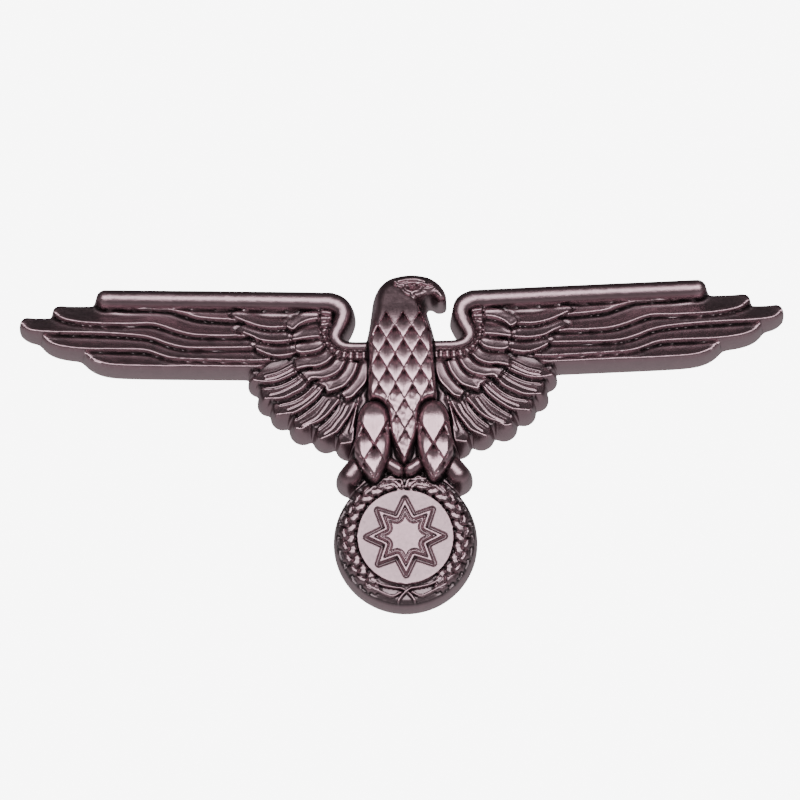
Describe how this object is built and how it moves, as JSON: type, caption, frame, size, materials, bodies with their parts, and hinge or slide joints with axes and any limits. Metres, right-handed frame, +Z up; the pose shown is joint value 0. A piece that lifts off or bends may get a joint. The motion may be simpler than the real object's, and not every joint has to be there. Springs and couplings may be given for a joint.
{
  "type": "cap badge",
  "caption": "Cast metal cap badge: spread eagle perched on a leaf wreath with a star, held to the cap by knurled nuts on threaded studs.",
  "frame": {"origin": "on the flat back of the casting, midway between the two studs", "axes": "+X to the viewer's right along the wingspan, +Z up as the badge is worn, +Y out of the back towards the cap; the relief faces -Y"},
  "size_m": [0.0698, 0.0135, 0.0311],
  "materials": {
    "cast_zinc": "antiqued gunmetal plating, dark in the hollows and rubbed bright on the high parts",
    "stud_brass": "plain machined thread",
    "plated_steel": "bright nickel plating"
  },
  "bodies": {
    "badge": {"eagle_casting": "cast_zinc", "left_threaded_stud": "stud_brass", "right_threaded_stud": "stud_brass"},
    "left_washer": {"left_swivel_washer": "plated_steel"},
    "left_nut": {"left_knurled_nut": "plated_steel"},
    "right_washer": {"right_swivel_washer": "plated_steel"},
    "right_nut": {"right_knurled_nut": "plated_steel"}
  },
  "joints": [
    {"name": "left_washer_travel", "type": "slide", "parent": "badge", "child": "left_washer", "axis": [0, 1, 0], "range_m": [-0.0018, 0.0054]},
    {"name": "left_nut_turn", "type": "hinge", "parent": "left_washer", "child": "left_nut", "pos_m": [-0.01, 0.003, 0], "axis": [0, 1, 0], "range_deg": [-1440, 4320]},
    {"name": "right_washer_travel", "type": "slide", "parent": "badge", "child": "right_washer", "axis": [0, 1, 0], "range_m": [-0.0018, 0.0054]},
    {"name": "right_nut_turn", "type": "hinge", "parent": "right_washer", "child": "right_nut", "pos_m": [0.01, 0.003, 0], "axis": [0, 1, 0], "range_deg": [-1440, 4320]}
  ],
  "couplings": [
    {"joint": "left_nut_turn", "follows": "left_washer_travel", "rad_per_m": 13963},
    {"joint": "right_nut_turn", "follows": "right_washer_travel", "rad_per_m": 13963}
  ]
}
